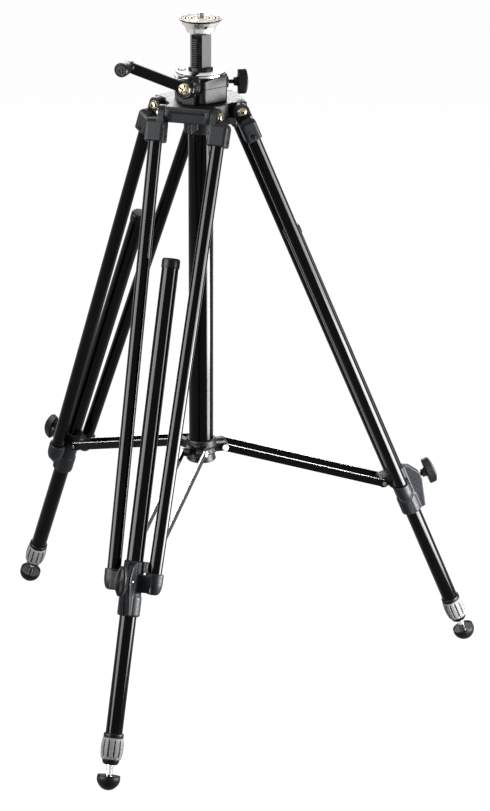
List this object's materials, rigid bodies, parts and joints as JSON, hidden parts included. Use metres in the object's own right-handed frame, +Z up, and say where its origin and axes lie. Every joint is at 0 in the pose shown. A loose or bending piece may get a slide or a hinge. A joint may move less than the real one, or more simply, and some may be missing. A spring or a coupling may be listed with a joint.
{
  "type": "camera tripod",
  "caption": "Camera tripod with a cranked geared centre column, hinged twin-strut legs in sliding sections, a folding spreader and rubber ball feet.",
  "frame": {"origin": "centre of the footprint on the floor under the feet", "axes": "+Z up along the centre column, -Y towards the front leg, +X to its right as seen from the front"},
  "size_m": [0.7578, 0.6604, 1.0134],
  "materials": {
    "black_tube": "black anodised, gloss",
    "casting": "dark blue-grey paint on a die casting, satin",
    "housing_paint": "dark grey paint on a die casting, satin",
    "polished": "turned and polished",
    "bright_steel": "bright plated steel",
    "bolt_cream": "zinc plated",
    "brass": "machined",
    "black_plastic": "satin black",
    "rubber": "matte black",
    "vial": "clear yellow-green level"
  },
  "bodies": {
    "base": {"crown": "casting", "leg_hinge_bolts": "bolt_cream", "gear_housing": "housing_paint", "top_flange": "polished", "level_vial": "vial", "guide_bush": "black_plastic", "sheath_tube": "black_tube", "sheath_end_cup": "black_plastic"},
    "hub": {"hub": "casting", "hub_bolts": "bolt_cream"},
    "column": {"column": "black_tube", "head_plate": "polished", "head_stud": "bright_steel"},
    "crank": {"crank_shaft": "bright_steel", "crank_arm": "housing_paint", "crank_screw": "bolt_cream"},
    "grip": {"crank_grip": "black_plastic"},
    "pinion": {"pinion": "bright_steel", "drive_wheel": "brass"},
    "column_lock": {"column_lock_knob": "black_plastic"},
    "front_leg": {"front_struts": "black_tube", "front_hinge_castings": "casting", "front_collar": "casting"},
    "front_lower": {"front_lower_tube": "black_tube", "front_tube_cap": "black_plastic", "front_tube_ring": "black_plastic"},
    "front_knob": {"front_lock_knob": "black_plastic"},
    "front_foot_lock": {"front_foot_lock": "polished"},
    "front_inner": {"front_inner_tube": "bright_steel", "front_stop_ring": "black_plastic", "front_rubber_foot": "rubber"},
    "front_bars": {"front_spreader_bars": "black_tube", "front_bar_rivets": "bolt_cream"},
    "right_leg": {"right_struts": "black_tube", "right_hinge_castings": "casting", "right_collar": "casting"},
    "right_lower": {"right_lower_tube": "black_tube", "right_tube_cap": "black_plastic", "right_tube_ring": "black_plastic"},
    "right_knob": {"right_lock_knob": "black_plastic"},
    "right_foot_lock": {"right_foot_lock": "polished"},
    "right_inner": {"right_inner_tube": "bright_steel", "right_stop_ring": "black_plastic", "right_rubber_foot": "rubber"},
    "right_bars": {"right_spreader_bars": "black_tube", "right_bar_rivets": "bolt_cream"},
    "left_leg": {"left_struts": "black_tube", "left_hinge_castings": "casting", "left_collar": "casting"},
    "left_lower": {"left_lower_tube": "black_tube", "left_tube_cap": "black_plastic", "left_tube_ring": "black_plastic"},
    "left_knob": {"left_lock_knob": "black_plastic"},
    "left_foot_lock": {"left_foot_lock": "polished"},
    "left_inner": {"left_inner_tube": "bright_steel", "left_stop_ring": "black_plastic", "left_rubber_foot": "rubber"},
    "left_bars": {"left_spreader_bars": "black_tube", "left_bar_rivets": "bolt_cream"}
  },
  "joints": [
    {"name": "column_slide", "type": "slide", "parent": "base", "child": "column", "axis": [0, 0, 1], "range_m": [-0.045, 0.44]},
    {"name": "crank_turn", "type": "hinge", "parent": "base", "child": "crank", "pos_m": [-0.00479, 0.05011, 0.9145], "axis": [-0.0872, -0.9962, 0], "range_deg": [-12610, 1290]},
    {"name": "grip_spin", "type": "hinge", "parent": "crank", "child": "grip", "pos_m": [-0.07999, 0.00175, 0.94746], "axis": [-0.0872, -0.9962, 0], "continuous": true},
    {"name": "pinion_turn", "type": "hinge", "parent": "base", "child": "pinion", "pos_m": [-0.00183, 0.08395, 0.904], "axis": [0.9962, -0.0872, 0], "range_deg": [-323, 3152]},
    {"name": "column_lock_turn", "type": "hinge", "parent": "base", "child": "column_lock", "pos_m": [0.04532, 0.12603, 0.9115], "axis": [0.9063, 0.4226, 0], "range_deg": [0, 270]},
    {"name": "hub_slide", "type": "slide", "parent": "base", "child": "hub", "axis": [0, 0, 1], "range_m": [0, 0.1376]},
    {"name": "front_leg_swing", "type": "hinge", "parent": "base", "child": "front_leg", "pos_m": [0, 0.0549, 0.87599], "axis": [1, 0, 0], "range_deg": [0, 23]},
    {"name": "front_tube_slide", "type": "slide", "parent": "front_leg", "child": "front_lower", "axis": [0, -0.3907, -0.9205], "range_m": [-0.15, 0.4]},
    {"name": "front_knob_turn", "type": "hinge", "parent": "front_leg", "child": "front_knob", "pos_m": [0, -0.23941, 0.28501], "axis": [0, -0.9205, 0.3907], "range_deg": [0, 270]},
    {"name": "front_foot_lock_turn", "type": "hinge", "parent": "front_lower", "child": "front_foot_lock", "pos_m": [0, -0.29849, 0.0537], "axis": [0, -0.3907, -0.9205], "range_deg": [-90, 0]},
    {"name": "front_inner_slide", "type": "slide", "parent": "front_lower", "child": "front_inner", "axis": [0, -0.3907, -0.9205], "range_m": [0, 0.4]},
    {"name": "front_bars_swing", "type": "hinge", "parent": "hub", "child": "front_bars", "pos_m": [0, 0.0719, 0.3595], "axis": [1, 0, 0], "range_deg": [0, 73.2]},
    {"name": "right_leg_swing", "type": "hinge", "parent": "base", "child": "right_leg", "pos_m": [0.0433, 0.1299, 0.87599], "axis": [-0.5, 0.866, 0], "range_deg": [0, 23]},
    {"name": "right_tube_slide", "type": "slide", "parent": "right_leg", "child": "right_lower", "axis": [0.3384, 0.1954, -0.9205], "range_m": [-0.15, 0.4]},
    {"name": "right_knob_turn", "type": "hinge", "parent": "right_leg", "child": "right_knob", "pos_m": [0.29818, 0.27706, 0.28501], "axis": [0.7972, 0.4603, 0.3907], "range_deg": [0, 270]},
    {"name": "right_foot_lock_turn", "type": "hinge", "parent": "right_lower", "child": "right_foot_lock", "pos_m": [0.34934, 0.30659, 0.0537], "axis": [0.3384, 0.1954, -0.9205], "range_deg": [-90, 0]},
    {"name": "right_inner_slide", "type": "slide", "parent": "right_lower", "child": "right_inner", "axis": [0.3384, 0.1954, -0.9205], "range_m": [0, 0.4]},
    {"name": "right_bars_swing", "type": "hinge", "parent": "hub", "child": "right_bars", "pos_m": [0.02858, 0.1214, 0.3595], "axis": [-0.5, 0.866, 0], "range_deg": [0, 73.2]},
    {"name": "left_leg_swing", "type": "hinge", "parent": "base", "child": "left_leg", "pos_m": [-0.0433, 0.1299, 0.87599], "axis": [-0.5, -0.866, 0], "range_deg": [0, 23]},
    {"name": "left_tube_slide", "type": "slide", "parent": "left_leg", "child": "left_lower", "axis": [-0.3384, 0.1954, -0.9205], "range_m": [-0.15, 0.4]},
    {"name": "left_knob_turn", "type": "hinge", "parent": "left_leg", "child": "left_knob", "pos_m": [-0.29818, 0.27706, 0.28501], "axis": [-0.7972, 0.4603, 0.3907], "range_deg": [0, 270]},
    {"name": "left_foot_lock_turn", "type": "hinge", "parent": "left_lower", "child": "left_foot_lock", "pos_m": [-0.34934, 0.30659, 0.0537], "axis": [-0.3384, 0.1954, -0.9205], "range_deg": [-90, 0]},
    {"name": "left_inner_slide", "type": "slide", "parent": "left_lower", "child": "left_inner", "axis": [-0.3384, 0.1954, -0.9205], "range_m": [0, 0.4]},
    {"name": "left_bars_swing", "type": "hinge", "parent": "hub", "child": "left_bars", "pos_m": [-0.02858, 0.1214, 0.3595], "axis": [-0.5, -0.866, 0], "range_deg": [0, 73.2]}
  ],
  "couplings": [
    {"joint": "crank_turn", "follows": "column_slide", "rad_per_m": -500},
    {"joint": "pinion_turn", "follows": "column_slide", "rad_per_m": 125},
    {"joint": "hub_slide", "follows": "front_leg_swing", "m_per_rad": 0.3427},
    {"joint": "front_bars_swing", "follows": "front_leg_swing", "ratio": 3.1765},
    {"joint": "right_leg_swing", "follows": "front_leg_swing", "ratio": 1},
    {"joint": "right_bars_swing", "follows": "front_leg_swing", "ratio": 3.1765},
    {"joint": "left_leg_swing", "follows": "front_leg_swing", "ratio": 1},
    {"joint": "left_bars_swing", "follows": "front_leg_swing", "ratio": 3.1765}
  ]
}
